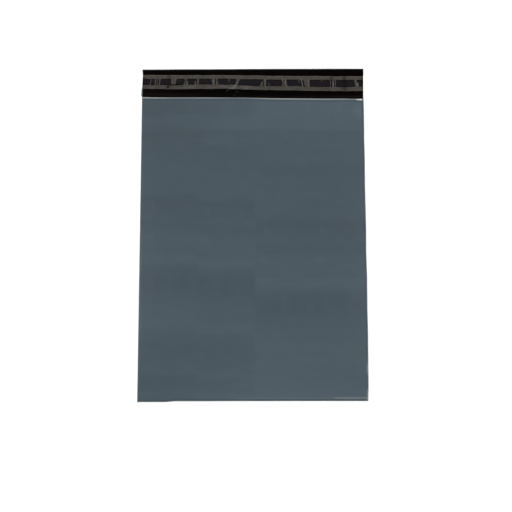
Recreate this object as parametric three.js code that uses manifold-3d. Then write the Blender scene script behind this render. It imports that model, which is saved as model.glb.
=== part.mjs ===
// A flat polyethylene mailing bag, lying on its back panel with its lip open.
// Millimetres, +Z up, +Y from the bottom fold to the lip, origin under the middle of the bag.
// One web of film is folded at the bottom and welded along both sides. The back panel runs on
// past the mouth as the lip, which carries a band of adhesive under a release liner.

import * as THREE from 'three';
import { mergeVertices } from 'three/addons/utils/BufferGeometryUtils.js';
import Module from 'manifold-3d';

// The bag
const BAG_WIDTH = 300; // over both side welds
const POCKET_LENGTH = 405.5; // bottom fold to mouth, at mid width
const LIP_LENGTH = 39.5; // mouth to the lip's cut edge, at mid width
const MOUTH_SKEW = 3.3; // the lip is this much longer along its right side than its left
const FILM = 0.06; // gauge of the film

// The air left between the panels lifts the front one
const PILLOW_HEIGHT = 7; // highest gap between the panels
const MOUTH_HEIGHT = 6; // gap at the middle of the mouth
const MOUTH_DRAW = 1.7; // the lifted middle of the mouth's edge draws back this far
const RISE_LENGTH = 120; // from the bottom fold to where the gap is highest
const PILLOW_FULLNESS = 2.4; // exponent of the gap's curve across the bag: higher is flatter on top

// The bottom fold, and the beads that the hot knife leaves along the sides
const FOLD_HEIGHT = 0.3; // outside height of the pressed fold
const WELD_WIDTH = 1; // both panels run together into one strip
const WELD_CROWN = 0.04; // the bead stands this much above the fold
const HEM_WIDTH = 0.6; // the bead on the single film of the lip
const HEM_CROWN = 0.1; // above the film

// The adhesive band, parallel to the mouth
const BAND_FROM_MOUTH = 21.2; // mouth to the middle of the band
const BAND_WIDTH = 8.8;
const BAND_BASE = 0.06;
const LAND_HEIGHT = 0.04;
const LAND_ROUND = 1.3; // corners of the lands

// The release liner, a hat-shaped strip over the band
const LINER_FROM_MOUTH = 20.8; // mouth to the middle of the liner
const LINER_WIDTH = 20.6;
const LINER_FILM = 0.04;
const LINER_CLEARANCE = 0.4; // beside the band, where the liner comes down to the film
const LINER_SLOPE = 1.6; // plan length over which it comes down
const STRIP_END_GAP = 0.3; // from the ends of the band and liner to the bead beside them

// The lands along the band from its left end: length, channel after it, and how far the left
// and the right end lean over. The list starts again where a wider bag needs more of it.
const LANDS = [
  [9.1, 2.5, 0.0, 0.9],
  [4.5, 1.5, 1.1, 0.3],
  [1.0, 2.0, 0.0, 0.0],
  [1.0, 2.0, 0.6, 0.6],
  [13.9, 8.0, 0.0, 0.0],
  [10.4, 4.0, 0.0, 1.4],
  [13.9, 2.5, 0.4, 0.0],
  [18.4, 3.5, 0.7, 1.3],
  [1.0, 3.5, 0.5, 0.5],
  [23.9, 4.5, 0.0, 0.5],
  [33.3, 3.5, 1.4, 0.0],
  [20.9, 2.5, 0.0, 0.0],
  [1.0, 3.5, 0.8, 0.8],
  [19.4, 3.5, -0.7, 0.0],
  [1.0, 7.4, -0.7, -0.7],
  [26.9, 2.5, 0.0, 0.0],
  [1.0, 3.0, 0.0, 0.0],
  [1.0, 2.0, -0.5, -0.5],
  [24.4, 5.0, 0.0, -0.3],
  [8.0, 2.5, -1.3, 0.0],
];

// How finely the curved film is divided
const COLUMNS = 24;
const ROWS = 30;
const FOLD_STEPS = 8;
const BEAD_STEPS = 6;
const CORNER_STEPS = 4;

const bagLength = POCKET_LENGTH + LIP_LENGTH;
const halfWidth = BAG_WIDTH / 2;
const halfPocket = halfWidth - WELD_WIDTH;
const bottomY = -bagLength / 2;
const lipY = bagLength / 2;
const mouthSlope = -MOUTH_SKEW / BAG_WIDTH;
const foldRadius = FOLD_HEIGHT / 2;
const foldY = bottomY + foldRadius;
const weldHeight = FOLD_HEIGHT + WELD_CROWN;
const hemHeight = FILM + HEM_CROWN;
const stripEnd = halfWidth - HEM_WIDTH - STRIP_END_GAP;
const bandTop = FILM + BAND_BASE + LAND_HEIGHT;

const wasm = await Module();
wasm.setup();

const film = new THREE.MeshStandardMaterial({ color: 0x4e5a62, roughness: 0.42, metalness: 0 });
const adhesive = new THREE.MeshStandardMaterial({ color: 0x1f1d20, roughness: 0.3, metalness: 0 });
const liner = new THREE.MeshStandardMaterial({ color: 0x524f4b, roughness: 0.35, metalness: 0 });

function mouthY(x) {
  return bottomY + POCKET_LENGTH + mouthSlope * x;
}

// How high the front panel stands at x: 1 at mid width and 0 at the side welds.
function crown(x) {
  return 1 - Math.min(Math.abs(x) / halfPocket, 1) ** PILLOW_FULLNESS;
}

// Gap between the panels at x, at a share of the way from the fold to the mouth.
function pillowGap(x, share) {
  const riseShare = RISE_LENGTH / POCKET_LENGTH;
  if (share < riseShare) return PILLOW_HEIGHT * crown(x) * (1 - (1 - share / riseShare) ** 2);
  const settle = THREE.MathUtils.smoothstep(share, riseShare, 1);
  return crown(x) * THREE.MathUtils.lerp(PILLOW_HEIGHT, MOUTH_HEIGHT, settle);
}

// The turned film of the bottom fold, from the back panel up to the front one.
function foldArc(radius) {
  const points = [];
  for (let i = 0; i <= FOLD_STEPS; i += 1) {
    const turn = -Math.PI / 2 - (Math.PI * i) / FOLD_STEPS;
    points.push([foldY + radius * Math.cos(turn), foldRadius + radius * Math.sin(turn)]);
  }
  return points;
}

// The front panel's inner or outer face at x, from the fold to the mouth.
function frontFace(x, height) {
  const points = [];
  const edgeY = mouthY(x) - MOUTH_DRAW * crown(x);
  for (let i = 1; i <= ROWS; i += 1) {
    const share = i / ROWS;
    points.push([THREE.MathUtils.lerp(foldY, edgeY, share), height + pillowGap(x, share)]);
  }
  return points;
}

// The web of film in side view at x: from the lip along the inside to the fold and up to the
// mouth, and back along the outside.
function webSection(x) {
  return [
    [lipY, 0],
    [lipY, FILM],
    ...foldArc(foldRadius - FILM),
    ...frontFace(x, FOLD_HEIGHT - FILM),
    ...frontFace(x, FOLD_HEIGHT).reverse(),
    ...foldArc(foldRadius).reverse(),
  ];
}

// A closed solid through outlines of equal point count that stand at different x. The inner and
// outer faces of a film run opposite ways round the outline, so each quad is split from its lower
// y to its higher one: the two faces then bend alike and stay one gauge apart.
function loftAcross(stations, section) {
  const outlines = stations.map(section);
  const count = outlines[0].length;
  const positions = [];
  outlines.forEach((outline, k) => outline.forEach(([y, z]) => positions.push(stations[k], y, z)));
  const index = [];
  for (let k = 0; k + 1 < stations.length; k += 1) {
    for (let i = 0; i < count; i += 1) {
      const next = (i + 1) % count;
      const a = k * count + i;
      const b = k * count + next;
      const climbs = outlines[k][i][0] < outlines[k][next][0];
      if (climbs) index.push(a, b, b + count, a, b + count, a + count);
      else index.push(a, b, a + count, b, b + count, a + count);
    }
  }
  const last = (stations.length - 1) * count;
  capTriangles(outlines[0]).forEach(([a, b, c]) => index.push(a, c, b));
  capTriangles(outlines.at(-1)).forEach(([a, b, c]) => index.push(last + a, last + b, last + c));
  const geometry = new THREE.BufferGeometry();
  geometry.setAttribute('position', new THREE.Float32BufferAttribute(positions, 3));
  geometry.setIndex(index);
  return geometry;
}

function capTriangles(outline) {
  const contour = outline.map(([y, z]) => new THREE.Vector2(y, z));
  return THREE.ShapeUtils.triangulateShape(contour, []);
}

function toManifold(geometry) {
  const bare = geometry.clone();
  bare.deleteAttribute('normal');
  bare.deleteAttribute('uv');
  const merged = mergeVertices(bare, 1e-5);
  return new wasm.Manifold(new wasm.Mesh({
    numProp: 3,
    vertProperties: new Float32Array(merged.attributes.position.array),
    triVerts: new Uint32Array(merged.index.array),
  }));
}

function toGeometry(solid) {
  const { vertProperties, triVerts } = solid.getMesh();
  const geometry = new THREE.BufferGeometry();
  geometry.setAttribute('position', new THREE.Float32BufferAttribute(vertProperties, 3));
  geometry.setIndex(new THREE.Uint32BufferAttribute(triVerts, 1));
  return geometry;
}

function joined(geometries) {
  const [first, ...rest] = geometries.map(toManifold);
  return toGeometry(rest.reduce((all, next) => all.add(next), first));
}

// A bead of molten film along one side: flat below, round on its outer edge.
// Side is 1 on the right and -1 on the left.
function bead(side, width, height, fromY, toY) {
  const radius = height / 2;
  const outline = new THREE.Shape();
  outline.moveTo(halfWidth - width, 0);
  outline.lineTo(halfWidth - radius, 0);
  outline.absarc(halfWidth - radius, radius, radius, -Math.PI / 2, Math.PI / 2, false);
  outline.lineTo(halfWidth - width, height);
  const bar = new THREE.ExtrudeGeometry(outline, {
    depth: toY - fromY, bevelEnabled: false, curveSegments: BEAD_STEPS,
  });
  // The outline's own up becomes +Z, and its depth then runs towards the fold.
  bar.rotateX(Math.PI / 2);
  bar.translate(0, toY, 0);
  if (side < 0) bar.rotateZ(Math.PI).translate(0, fromY + toY, 0);
  return bar;
}

function makeFilmBag() {
  const stations = [-halfWidth + WELD_WIDTH / 2];
  for (let i = 0; i <= COLUMNS; i += 1) {
    stations.push(THREE.MathUtils.lerp(-halfPocket, halfPocket, i / COLUMNS));
  }
  stations.push(halfWidth - WELD_WIDTH / 2);
  const parts = [loftAcross(stations, webSection), ...[-1, 1].flatMap((side) => [
    bead(side, WELD_WIDTH, weldHeight, bottomY, mouthY(side * halfWidth)),
    bead(side, HEM_WIDTH, hemHeight, mouthY(side * halfWidth) - HEM_WIDTH, lipY),
  ])];
  // The lip's own film reaches its side beads.
  const lip = new THREE.BoxGeometry(BAG_WIDTH - HEM_WIDTH, LIP_LENGTH - MOUTH_SKEW, FILM);
  lip.translate(0, lipY - (LIP_LENGTH - MOUTH_SKEW) / 2, FILM / 2);
  return joined([...parts, lip]);
}

// Turns a strip that was made level with the X axis parallel to the mouth, at its own distance.
function besideMouth(geometry, distance) {
  const skew = new THREE.Matrix4().makeShear(mouthSlope, 0, 0, 0, 0, 0);
  return geometry.applyMatrix4(skew).translate(0, mouthY(0) + distance, 0);
}

// One land's outline, with its corners rounded as far as its length allows.
function landShape(start, end, leanStart, leanEnd) {
  const half = BAND_WIDTH / 2;
  const round = Math.min(LAND_ROUND, (end - start) * 0.45);
  const corners = [
    new THREE.Vector2(start - leanStart, -half),
    new THREE.Vector2(end - leanEnd, -half),
    new THREE.Vector2(end + leanEnd, half),
    new THREE.Vector2(start + leanStart, half),
  ];
  const shape = new THREE.Shape();
  corners.forEach((corner, i) => {
    const before = corners.at(i - 1);
    const after = corners[(i + 1) % corners.length];
    const from = corner.clone().lerp(before, round / corner.distanceTo(before));
    const to = corner.clone().lerp(after, round / corner.distanceTo(after));
    if (i === 0) shape.moveTo(from.x, from.y);
    else shape.lineTo(from.x, from.y);
    shape.quadraticCurveTo(corner.x, corner.y, to.x, to.y);
  });
  shape.closePath();
  return shape;
}

// The lands along the band. The first and the last run on past its ends.
function landShapes() {
  const shapes = [];
  let start = -stripEnd;
  for (let i = 0; start < stripEnd; i += 1) {
    const [length, channel, leanStart, leanEnd] = LANDS[i % LANDS.length];
    const from = i === 0 ? start - LAND_ROUND : start;
    shapes.push(landShape(from, start + length, leanStart, leanEnd));
    start += length + channel;
  }
  return shapes;
}

// The base with its lands, cut off square at both ends.
function makeAdhesiveStrip() {
  const base = new THREE.BoxGeometry(2 * (stripEnd + LAND_ROUND), BAND_WIDTH, BAND_BASE);
  base.translate(0, 0, FILM + BAND_BASE / 2);
  const lands = landShapes().map((shape) => {
    const land = new THREE.ExtrudeGeometry(shape, {
      depth: BAND_BASE / 2 + LAND_HEIGHT, bevelEnabled: false, curveSegments: CORNER_STEPS,
    });
    return land.translate(0, 0, FILM + BAND_BASE / 2);
  });
  const kept = new THREE.BoxGeometry(2 * stripEnd, 2 * BAND_WIDTH, 4 * bandTop);
  const strip = toManifold(joined([base, ...lands])).intersect(toManifold(kept));
  return besideMouth(toGeometry(strip), BAND_FROM_MOUTH);
}

// The liner's section: flat margins on the film, and a raised middle over the band.
function linerSection() {
  const bandOffset = BAND_FROM_MOUTH - LINER_FROM_MOUTH;
  const crownHalf = BAND_WIDTH / 2 + LINER_CLEARANCE;
  const under = [
    [-LINER_WIDTH / 2, FILM],
    [bandOffset - crownHalf - LINER_SLOPE, FILM],
    [bandOffset - crownHalf, bandTop],
    [bandOffset + crownHalf, bandTop],
    [bandOffset + crownHalf + LINER_SLOPE, FILM],
    [LINER_WIDTH / 2, FILM],
  ];
  const over = under.map(([y, z]) => [y, z + LINER_FILM]).reverse();
  return [...under, ...over];
}

function makeReleaseLiner() {
  return besideMouth(loftAcross([-stripEnd, stripEnd], linerSection), LINER_FROM_MOUTH);
}

function named(name, geometry, material) {
  const mesh = new THREE.Mesh(geometry, material);
  mesh.name = name;
  return mesh;
}

const mailer = new THREE.Group();
mailer.add(named('film_bag', makeFilmBag(), film));
mailer.add(named('adhesive_strip', makeAdhesiveStrip(), adhesive));
mailer.add(named('release_liner', makeReleaseLiner(), liner));

export default mailer;
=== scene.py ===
"""The looks of a flat polyethylene mailing bag, lying on its back panel with its lip open.

The shapes are worked out in millimetres and become metres when a mesh is made. X runs across the
bag, Y from the bottom fold to the lip, and Z up.
"""

import math

import bpy
import numpy as np
from mathutils import Matrix, Vector


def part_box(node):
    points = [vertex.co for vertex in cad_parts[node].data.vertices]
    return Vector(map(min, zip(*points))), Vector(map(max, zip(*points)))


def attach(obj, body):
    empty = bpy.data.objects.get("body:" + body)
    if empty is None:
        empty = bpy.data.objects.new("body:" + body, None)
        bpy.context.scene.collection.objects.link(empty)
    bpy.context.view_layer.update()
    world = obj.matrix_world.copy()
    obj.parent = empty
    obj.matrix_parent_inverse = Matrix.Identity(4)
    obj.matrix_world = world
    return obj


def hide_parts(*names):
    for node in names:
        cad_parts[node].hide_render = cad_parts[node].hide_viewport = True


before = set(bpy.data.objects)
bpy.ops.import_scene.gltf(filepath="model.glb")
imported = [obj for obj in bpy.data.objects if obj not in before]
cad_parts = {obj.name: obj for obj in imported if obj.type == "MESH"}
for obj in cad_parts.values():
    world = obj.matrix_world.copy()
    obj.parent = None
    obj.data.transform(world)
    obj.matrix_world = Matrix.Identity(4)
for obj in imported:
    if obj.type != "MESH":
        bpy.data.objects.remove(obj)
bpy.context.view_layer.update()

MM = 0.001
BODY = "root"
LEFT, RIGHT = -1, 1

# The bag, as the frame holds it
bag_low, bag_high = (np.array(corner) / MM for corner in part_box("film_bag"))
half_width = bag_high[0]
lip_y = bag_high[1]
bottom_y = bag_low[1]
POCKET_LENGTH = 405.5
MOUTH_SKEW = 3.3
FILM = 0.06
FOLD_HEIGHT = 0.3
WELD_WIDTH = 1.0
WELD_HEIGHT = 0.34
HEM_WIDTH = 0.6
HEM_HEIGHT = 0.16
mouth_slope = -MOUTH_SKEW / (2 * half_width)
half_pocket = half_width - WELD_WIDTH

# The pillow of air that lifts the front panel
PILLOW_HEIGHT = 7.0
MOUTH_HEIGHT = 6.0
MOUTH_DRAW = 1.7
RISE_LENGTH = 120.0
PILLOW_FULLNESS = 2.4

# The front panel's soft waves across the bag. They fade out over this share of it at the fold
WAVE_HEIGHT = 0.16
WAVE_PITCH = 46.0
WAVE_STRETCH = 7
WAVE_FADE = 0.06

# The puckers along its side welds, which differ from left to right. They start this far from the
# weld, and fade out over shares of the panel at the fold and at the mouth
PUCKER_HEIGHT = 0.3
PUCKER_PITCH = 40.0
PUCKER_REACH = 10.0
PUCKER_START = 3.0
PUCKER_SHIFT = 9.0
PUCKER_FOLD_FADE = (0.01, 0.06)
PUCKER_MOUTH_FADE = 0.02

# The uneven outline, as distances from the plain one. Along Y: the right side, outwards, and the
# left one, inwards. Along X: the bottom fold and the lip's cut edge, both towards the lip
RIGHT_SIDE = [
    (-222, -0.7), (-205, 0.0), (-180, 0.3), (-130, 0.7), (-105, 0.45), (-60, 0.8), (-29, 0.3), (0, 0.7),
    (60, 0.3), (98, 0.6), (124, 0.45), (160, 0.7), (181, 0.5), (184, 0.2), (205, 0.4), (212, 0.4),
    (215, 0.85),
]
LEFT_SIDE = [(200, 0.0), (204, 0.25), (211, 0.4), (214, 0.75), (217, 0.35), (220, 0.05)]
BOTTOM_FOLD = [(-149, -1.1), (-113, -1.15), (-102, -0.05), (0, 0.05), (149, 0.0)]
LIP_EDGE = [(-149, 0.3), (-68, 0.4), (0, 0.65), (30, 0.46), (149, 0.45)]

# How far from each edge the film still follows it
SIDE_REACH = 25.0
FOLD_REACH = 40.0
LIP_REACH = 7.0

# The front panel's cut edge lies back this far from the mouth line
MOUTH_SAG = [
    (-149, 0.6), (-110, 0.8), (-50, 0.5), (-28, 0.45), (-12, 0.4), (3, 0.65), (30, 1.05), (95, 1.05),
    (125, 0.6), (149, 0.85),
]

# It curls down, at this radius and by this turn
CURL_RADIUS = 0.9
CURL_TURN = math.radians(75)

# A tail of the left weld runs on past the mouth, wider and thinner, and stands off the lip's edge
TAIL_END = 196.5
TAIL_FLARE = [(183, 0.0), (185.5, 0.7), (187, 1.2), (189, 0.9), (195, 0.8), (196.5, 0.4)]
TAIL_WIDTH = 1.8
TAIL_WIDENING = 2.0
TAIL_THINNING = 0.4

# The beads of the welds vary in height and width, and are a little lower at their inner side
BEAD_HEIGHT_VARIES = 0.08
BEAD_WIDTH_VARIES = 0.18
BEAD_INNER_HEIGHT = 0.94

# The lip of single film lies in shallow waves, which grow towards its edge with this power
LIP_WAVE = 0.5
LIP_WAVE_PITCH = 170.0
LIP_WAVE_POWER = 1.5

# How far apart the points of the film's mesh lie, in the open and near its welds, fold and mouth
WIDE_STEP = 2.5
WELD_STEP = 0.8
FOLD_STEP = 0.4
MOUTH_STEP = 0.35
LIP_STEP = 1.0
BACK_STEP = 6.0

# What counts as near
NEAR_WELD = 8.0
NEAR_FOLD = 6.0
NEAR_MOUTH = 5.0

# The steps round the fold and the curl, and those along and round a bead
FOLD_STEPS = 9
CURL_STEPS = 6
BEAD_STEP = 1.2
BEAD_STEPS = 6

# The steps along and across the band, the second as a share of its half width, and the liner's
BAND_STEP = 0.6
BAND_ROW = 0.09
LINER_STEP = 0.42
LINER_ROWS = 50

# The adhesive band's edges, as distances from the mouth at places along it
BAND_TOP = [
    (-149, 25.4), (-142, 25.1), (-122, 25.3), (-100, 25.5), (-68, 25.9), (-43, 26.3), (-11, 25.5), (2, 25.7),
    (30, 25.2), (63, 25.6), (84, 25.5), (105, 25.6), (120, 25.5), (149, 25.9),
]
BAND_LOW = [
    (-149, 16.9), (-140, 16.2), (-122, 16.5), (-98, 16.5), (-72, 17.7), (-43, 18.0), (-26, 17.3), (-11, 16.8),
    (2, 16.3), (28, 16.0), (60, 16.6), (84, 15.5), (104, 15.5), (122, 15.4), (133, 15.6), (149, 16.6),
]
BAND_BASE = 0.06
LAND_HEIGHT = 0.04
STRIP_END = 149.1

# The lands along the band: left and right end, how far each leans over, and the rounding of each
LANDS = [
    (-150.5, -139.4, 0.0, 0.9, 0.2, 0.8),
    (-138.1, -132.6, 0.8, 0.5, 0.7, 0.7),
    (-131.3, -129.9, 0.6, 0.6, 0.4, 0.4),
    (-128.7, -127.2, 0.4, 0.4, 0.4, 0.4),
    (-125.5, -110.9, 0.7, -0.2, 1.4, 1.1),
    (-104.0, -92.6, 0.5, 1.6, 0.5, 0.9),
    (-89.0, -75.5, 0.3, 0.0, 1.0, 0.6),
    (-72.9, -55.4, 0.3, -0.9, 1.0, 1.0),
    (-51.3, -49.7, 0.2, 0.2, 0.4, 0.4),
    (-47.9, -22.3, 0.1, 0.8, 3.0, 0.6),
    (-18.5, 12.0, 1.3, 3.2, 0.8, 0.4),
    (18.4, 40.3, 0.2, 0.1, 1.2, 0.8),
    (46.6, 66.3, -0.9, -0.6, 0.8, 0.6),
    (68.4, 69.9, -1.0, -1.0, 0.4, 0.4),
    (77.8, 105.6, 0.0, -0.3, 0.8, 2.0),
    (106.5, 108.2, 0.0, 0.0, 0.4, 0.4),
    (110.6, 112.1, -0.2, -0.2, 0.4, 0.4),
    (113.2, 138.7, 0.0, -0.9, 1.2, 0.6),
    (142.5, 150.5, -1.5, 0.0, 0.6, 0.2),
]

# The liner's edges, as distances from the mouth at places along it
LINER_FILM = 0.04
LINER_TOP = [
    (-149, 30.3), (-140, 30.4), (-120, 30.4), (-98, 30.3), (-68, 30.6), (-43, 31.0), (-28, 30.8), (-11, 30.6),
    (2, 30.9), (14, 30.5), (42, 30.3), (53, 30.5), (70, 30.3), (85, 30.7), (98, 30.3), (120, 30.4),
    (149, 30.9),
]
LINER_LOW = [
    (-149, 11.4), (-136, 11.0), (-122, 11.2), (-112, 10.8), (-103, 10.8), (-94, 11.1), (-68, 11.7),
    (-55, 11.6), (-43, 12.4), (-28, 11.7), (2, 10.9), (28, 10.5), (63, 10.4), (84, 9.9), (98, 10.4),
    (110, 9.7), (120, 10.1), (133, 10.0), (149, 10.4),
]

# A land rises over this range of depths inside its outline. No depth is less than the last value
LAND_SHOULDER = (-0.1, 0.5)
LEAST_DEPTH = -5.0

# The small gaps that keep the adhesive off the film and the liner off the adhesive
ADHESIVE_GAP = 0.001
LINER_GAP = 0.002

# The liner's edges sway a little. It slopes down beside the band, lifts again where it is loose, from
# one distance beside the band to another, and lifts a little over the channels
LINER_SWAY = 0.15
LINER_SLOPE = 2.0
LOOSE_LIFT = 0.05
LOOSE_FROM = 1.0
LOOSE_FULL = 4.0
CHANNEL_LIFT = 0.05
CHANNEL_SLOPE = 1.2

# It is wet over the lands, softly from this far outside to as far inside, and darkest near their
# rims. These places sway with the waves along the band and with those that run aslant
WET_EDGE = 0.35
RIM_DEPTHS = (1.5, 0.5)
WET_SWAY_ALONG = 0.12
WET_SWAY_ASLANT = 0.1

# Marks in the liner, as strokes from one point to another: X and the height over the middle of
# the band at both ends, half width and strength. Light ones first, where air stays under it
LIGHT_STROKES = [
    (-135.2, 2.9, -135.0, 1.4, 0.35, 0.2),
    (-132.1, 2.6, -132.2, -1.2, 0.6, 0.3),
    (-100.1, 2.7, -100.1, 2.0, 0.6, 0.12),
    (-104.0, 3.9, -104.8, 3.5, 0.6, 0.3),
    (-92.0, 3.6, -91.4, 2.6, 0.6, 0.3),
    (-88.9, 0.2, -88.6, -4.2, 0.7, 0.5),
    (-77.9, 0.2, -77.6, -4.2, 0.6, 0.5),
    (-52.0, 3.2, -52.6, 0.6, 0.7, 0.4),
    (-52.6, 0.6, -53.6, -3.8, 0.7, 0.25),
    (-46.9, 0.4, -47.1, -2.6, 0.5, 0.3),
    (-31.5, 3.6, -31.4, 1.6, 0.6, 0.3),
    (-32.0, 0.6, -32.6, -0.8, 0.5, 0.15),
    (-22.0, 1.0, -22.2, -4.0, 0.7, 0.2),
    (13.4, 1.5, 12.6, -4.0, 0.6, 0.25),
    (17.5, 3.6, 17.4, -3.6, 0.7, 0.2),
    (21.8, -1.0, 23.4, -3.4, 0.6, 0.25),
    (40.6, 4.2, 40.7, 2.8, 0.7, 0.5),
    (44.9, 4.2, 44.7, 1.4, 0.8, 0.55),
    (44.7, 1.4, 44.7, -3.6, 0.7, 0.3),
    (62.9, 4.4, 63.8, 0.6, 0.7, 0.22),
    (66.3, 4.2, 66.4, 3.2, 0.7, 0.7),
    (67.4, 0.0, 67.8, -2.8, 0.6, 0.2),
    (76.0, 4.0, 76.0, -3.0, 0.6, 0.25),
    (92.9, 4.4, 94.8, 3.8, 0.6, 0.25),
    (105.9, 1.5, 105.9, -0.5, 0.4, 0.2),
    (110.0, 4.4, 109.7, 0.6, 0.5, 0.25),
    (109.7, 0.6, 109.7, -4.6, 0.6, 0.45),
    (112.9, 1.0, 112.7, -2.0, 0.4, 0.3),
    (142.6, -0.4, 142.9, -3.4, 0.9, 0.5),
    (-31.0, -4.9, -23.5, -4.8, 0.7, 0.3),
    (-23.4, -4.4, -22.9, -4.5, 0.9, 0.8),
    (-25.2, -6.0, -23.6, -5.7, 0.9, 0.6),
    (-27.6, -7.2, -23.5, -7.2, 0.8, 0.4),
    (-30.6, -8.7, -24.8, -8.5, 0.8, 0.6),
    (-43.5, -7.2, -34.5, -7.1, 0.8, 0.3),
    (-140.5, -8.0, -133.0, -8.1, 1.0, 0.15),
    (-93.0, -5.6, -79.0, -5.9, 1.4, 0.12),
    (-93.0, -7.6, -79.0, -7.9, 1.0, 0.18),
    (-55.5, -8.4, -47.0, -8.6, 1.0, 0.15),
    (-16.0, -6.3, -1.0, -6.8, 1.6, 0.16),
    (-11.5, -8.2, -6.5, -8.4, 0.9, 0.3),
]

# Dark ones, where adhesive bled beyond a land or lies thick, and painted shade along the liner's ends at X
# about ±148
DARK_STROKES = [
    (-148.6, 4.2, -148.6, -4.2, 0.9, 0.9),
    (-120.0, -3.9, -116.6, -4.1, 0.9, 0.6),
    (-113.8, -4.1, -112.0, -4.4, 1.0, 0.95),
    (-115.2, -7.3, -114.7, -6.7, 1.9, 1.0),
    (-112.4, -4.1, -102.0, -4.2, 1.0, 0.95),
    (-103.8, -2.8, -101.6, -3.1, 0.9, 0.9),
    (-89.8, 3.0, -90.8, 0.0, 0.75, 0.9),
    (-90.8, 0.0, -90.5, -2.0, 0.75, 0.9),
    (-54.6, 3.8, -53.4, 2.0, 0.6, 0.6),
    (-47.7, 2.8, -47.6, -1.4, 0.5, 0.6),
    (-20.6, -3.6, -17.6, -3.8, 0.8, 0.8),
    (-9.0, -3.4, 9.8, -3.8, 0.9, 0.5),
    (2.5, -4.4, 9.6, -4.8, 0.9, 0.5),
    (12.8, 3.6, 14.8, 1.4, 0.9, 1.0),
    (14.8, 1.4, 14.8, -4.4, 0.95, 1.0),
    (12.0, -3.4, 12.4, -4.4, 0.9, 0.7),
    (27.2, -2.8, 28.4, -3.0, 0.8, 1.0),
    (39.3, 0.0, 39.2, -3.4, 0.6, 0.6),
    (43.9, 4.2, 42.6, 2.8, 0.9, 1.0),
    (41.6, 0.6, 43.4, -3.6, 1.6, 0.45),
    (24.6, -6.2, 23.4, -8.0, 0.8, 0.35),
    (-113.0, 8.2, -113.6, 4.6, 2.4, 0.4),
    (65.0, -2.6, 65.4, -4.4, 0.8, 0.8),
    (69.8, -3.6, 70.6, -5.6, 0.9, 0.6),
    (68.6, 3.8, 70.0, -4.4, 0.8, 0.7),
    (107.5, 8.6, 107.5, 6.0, 2.2, 0.55),
    (95.0, -7.2, 103.6, -7.4, 1.7, 0.3),
    (121.0, -7.0, 128.0, -8.0, 1.8, 0.4),
    (124.9, 8.4, 125.3, -8.4, 2.7, 0.55),
    (148.2, 4.2, 148.2, -4.2, 0.9, 0.9),
    (148.6, 7.8, 148.6, 4.4, 0.7, 0.4),
]

# Bands of painted light and shade across the front panel, lighter where above 0: middle, half height,
# strength
SHADING_BANDS = [
    (114.0, 10.0, -0.33),
    (96.0, 9.0, -0.15),
    (41.0, 7.0, -0.60),
    (28.0, 7.0, -0.35),
    (8.0, 8.0, -0.20),
    (-14.0, 14.0, 0.35),
    (-37.0, 8.0, 0.68),
    (-66.0, 15.0, -0.43),
    (-106.0, 14.0, 0.28),
    (-123.0, 8.0, 0.55),
    (-154.0, 13.0, -0.17),
    (-182.0, 6.0, 0.20),
    (-198.0, 9.0, -0.36),
    (-213.0, 5.0, 0.15),
]

# How strongly the painted shading bands show, and how they sway
SHADING_BAND_STRENGTH = 1.1
SHADING_BAND_SWAY = 1.2
SHADING_BAND_SWAY_PITCH = 60

# The bands step down between columns of the web: where each column starts, how far down it lies,
# and how far its border leans over towards the mouth
COLUMNS = [(-148.0, 0.0, 0.0), (-73.0, 6.6, 0.0), (3.0, 32.6, 12.0), (76.7, 32.6, 0.0)]
BORDER_SOFTNESS = 2.0
BORDER_LEAN = (50, 92)

# Painted light marks that every column has: X from its start, Y before its step, half width and height
COLUMN_MARKS = [(11.0, -6.5, 5.0, 3.5), (15.0, 33.0, 2.5, 5.0)]
COLUMN_MARK_STRENGTH = 0.75

# Painted shading of faint pleats in one of the bands: its middle, half height and their strength
PLEAT_SHADING = (-66.0, 15.0, 0.3)

# Broad areas of painted light and shade on the front panel, light above 0: strength, then where they lie
# along X and Y. A ramp has the places where it is nothing and full, a bell and a plateau their middle and
# half width
LIT_AND_SHADED_AREAS = [
    (0.15, ("ramp", -160, -150), ("ramp", 134, 139)),
    (0.75, ("ramp", -140, 30), ("ramp", 134, 139)),
    (-0.85, ("ramp", 12, -8), ("ramp", 150, 163)),
    (-0.7, ("ramp", 10, -90), ("bell", 132, 6)),
    (-0.3, ("ramp", -66, -80), ("plateau", 138, 20)),
    (0.22, ("plateau", 0, 82), ("ramp", 110, 60)),
    (0.75, ("ramp", 0, 6), ("ramp", -158, -172)),
    (0.45, ("ramp", -76, -70), ("ramp", -192, -203)),
    (-0.45, ("ramp", 2.6, 4.9), ("ramp", -192, -203)),
]

# Soft painted highlights where handling dented the film: X, Y, half width, half length, turn in degrees,
# strength
HANDLING_HIGHLIGHTS = [
    (117.0, 168.0, 4.0, 14.0, -20, 0.8),
    (104.0, 160.0, 3.0, 12.0, -25, 0.4),
    (142.0, 163.0, 5.0, 7.0, 0, 2.2),
    (74.0, 172.0, 3.0, 9.0, 0, 0.6),
    (-65.5, -166.0, 2.5, 3.5, 0, 0.7),
    (-12.0, -201.0, 14.0, 6.0, 0, 0.7),
]

# How strongly the back panel's painted wave shading shows, and how much longer the waves are across the bag
# than their pitch
BACK_WAVE_SHADING = 0.6
BACK_WAVE_PITCH = 60
BACK_WAVE_STRETCH = 5

# The pale line on the front panel's cut edge, partly its own paler film and partly a painted highlight:
# how pale it is along the mouth, how wide, and how far its lower side fades. A width, place or strength
# that changes along X is given as a value and the changes to it: by how much, from where on, and where in
# full
MOUTH_PALE = [
    (-149, 1.05), (-133, 1.0), (-112, 0.62), (-90, 0.62), (-68, 0.75), (-45, 0.58), (-28, 0.28), (-10, 0.28),
    (3, 0.45), (22, 0.8), (50, 1.0), (66, 0.9), (95, 1.1), (120, 0.85), (134, 0.58), (149, 0.95),
]
MOUTH_LINE_WIDTH = (2.1, (0.25, -100, -130))
MOUTH_LINE_FADE = 0.7

# Painted glints, bright spots on it near its right end: X, half width, strength. They fade between two
# distances from it
GLINTS = [(145.8, 1.6, 1.0), (142.5, 0.9, 0.75)]
GLINT_FADE = (2.6, 1.8)
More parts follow.
